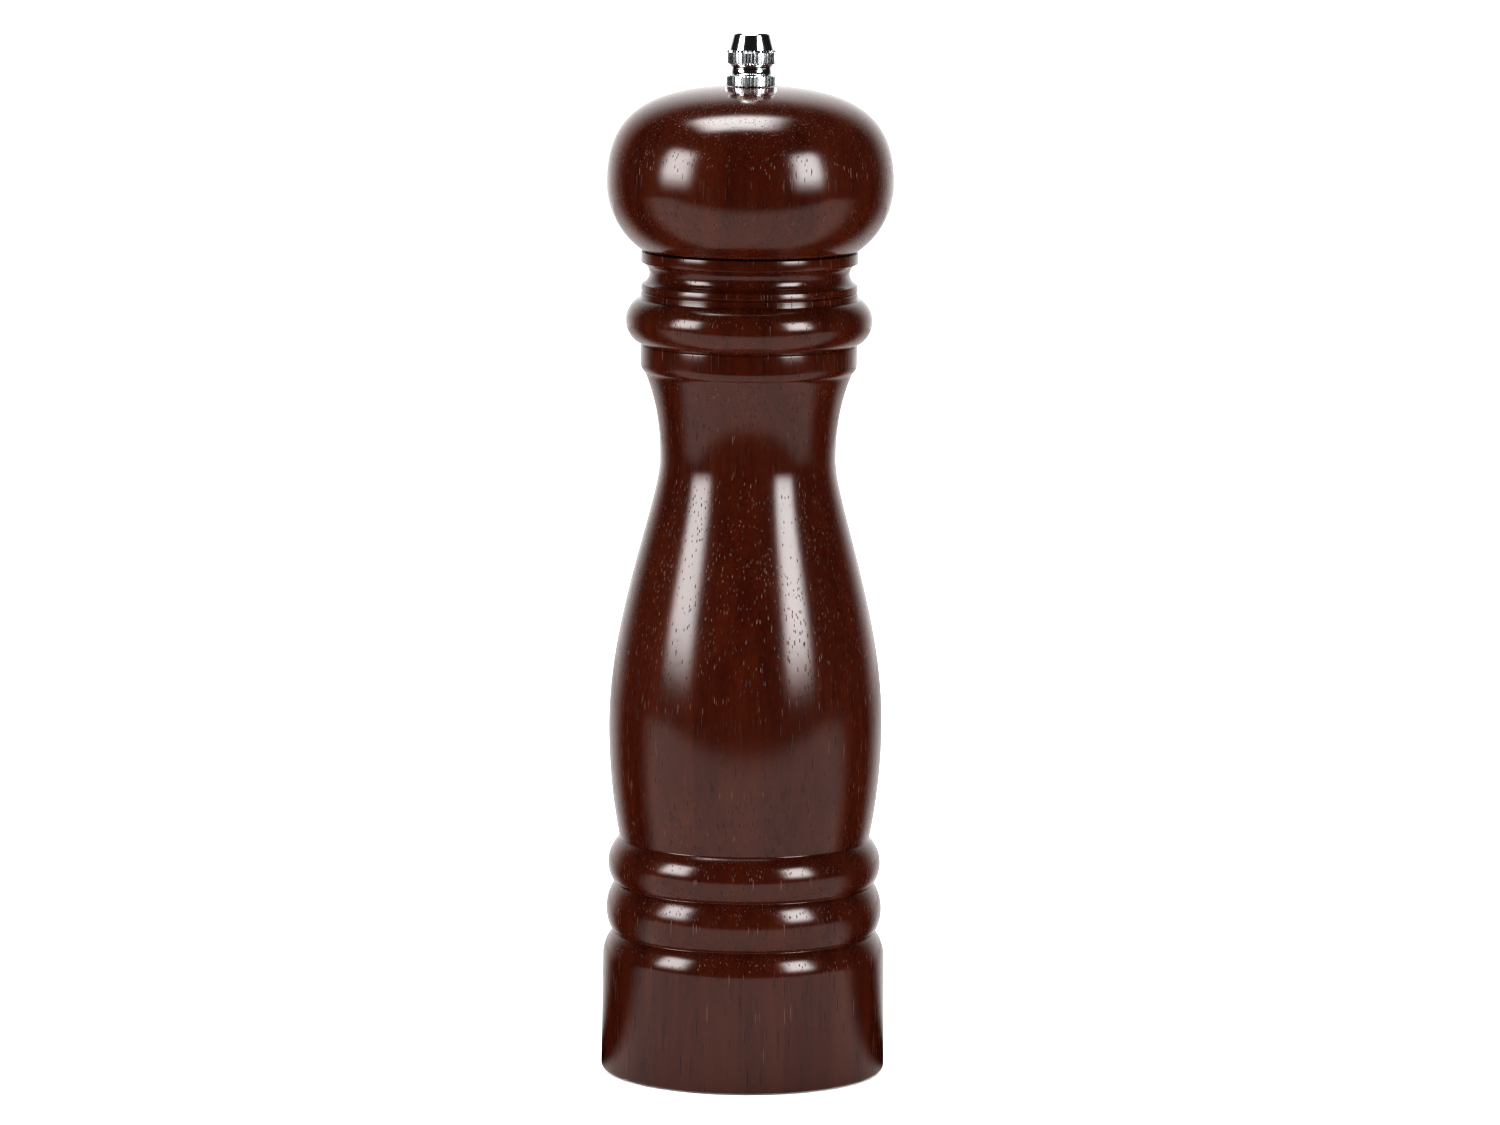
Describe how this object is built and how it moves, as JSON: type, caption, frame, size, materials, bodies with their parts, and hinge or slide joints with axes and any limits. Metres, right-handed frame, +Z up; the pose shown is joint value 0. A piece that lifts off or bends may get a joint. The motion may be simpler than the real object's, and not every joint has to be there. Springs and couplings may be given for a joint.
{
  "type": "pepper mill",
  "caption": "Turned wooden pepper mill with a ball head that turns a conical steel burr in the foot, set by a knurled chrome nut on top.",
  "frame": {"origin": "centre of the underside of the foot, on the axis that the body was turned on", "axes": "+Z up along the axis from the foot to the nut; +X and +Y are any two directions square to it"},
  "size_m": [0.0588, 0.0588, 0.2146],
  "materials": {
    "lacquered_wood": "gloss lacquer over dark red-brown stain, open pores",
    "nut_chrome": "polished chrome plate, knurled bands",
    "shaft_steel": "drawn square bar, zinc plated",
    "plated_steel": "stamped sheet, zinc plated",
    "screw_steel": "zinc plated",
    "burr_steel": "hardened, cut teeth, dull",
    "spring_steel": "drawn spring wire"
  },
  "bodies": {
    "mill_body": {"body": "lacquered_wood", "outer_burr": "burr_steel", "bridge": "plated_steel", "retaining_plate": "plated_steel", "retaining_screw_1": "screw_steel", "retaining_screw_2": "screw_steel", "retaining_screw_3": "screw_steel"},
    "turning_spindle": {"thrust_washer": "plated_steel", "spring": "spring_steel"},
    "burr_shaft": {"shaft": "shaft_steel", "inner_burr": "burr_steel", "burr_washer": "plated_steel", "retaining_clip": "spring_steel"},
    "head_set": {"head": "lacquered_wood", "drive_plate": "plated_steel", "drive_plate_screw_1": "screw_steel", "drive_plate_screw_2": "screw_steel"},
    "nut": {"top_nut": "nut_chrome"}
  },
  "joints": [
    {"name": "grind_turn", "type": "hinge", "parent": "mill_body", "child": "turning_spindle", "pos_m": [0, 0, 0.1], "axis": [0, 0, 1], "continuous": true},
    {"name": "head_lift", "type": "slide", "parent": "turning_spindle", "child": "head_set", "axis": [0, 0, 1], "range_m": [0, 0.1]},
    {"name": "nut_turn", "type": "hinge", "parent": "head_set", "child": "nut", "pos_m": [0, 0, 0.209], "axis": [0, 0, -1], "range_deg": [0, 720]},
    {"name": "burr_adjust", "type": "slide", "parent": "turning_spindle", "child": "burr_shaft", "axis": [0, 0, 1], "range_m": [0, 0.0016], "deforming": ["spring"]}
  ],
  "couplings": [
    {"joint": "nut_turn", "follows": "burr_adjust", "rad_per_m": 7854}
  ]
}
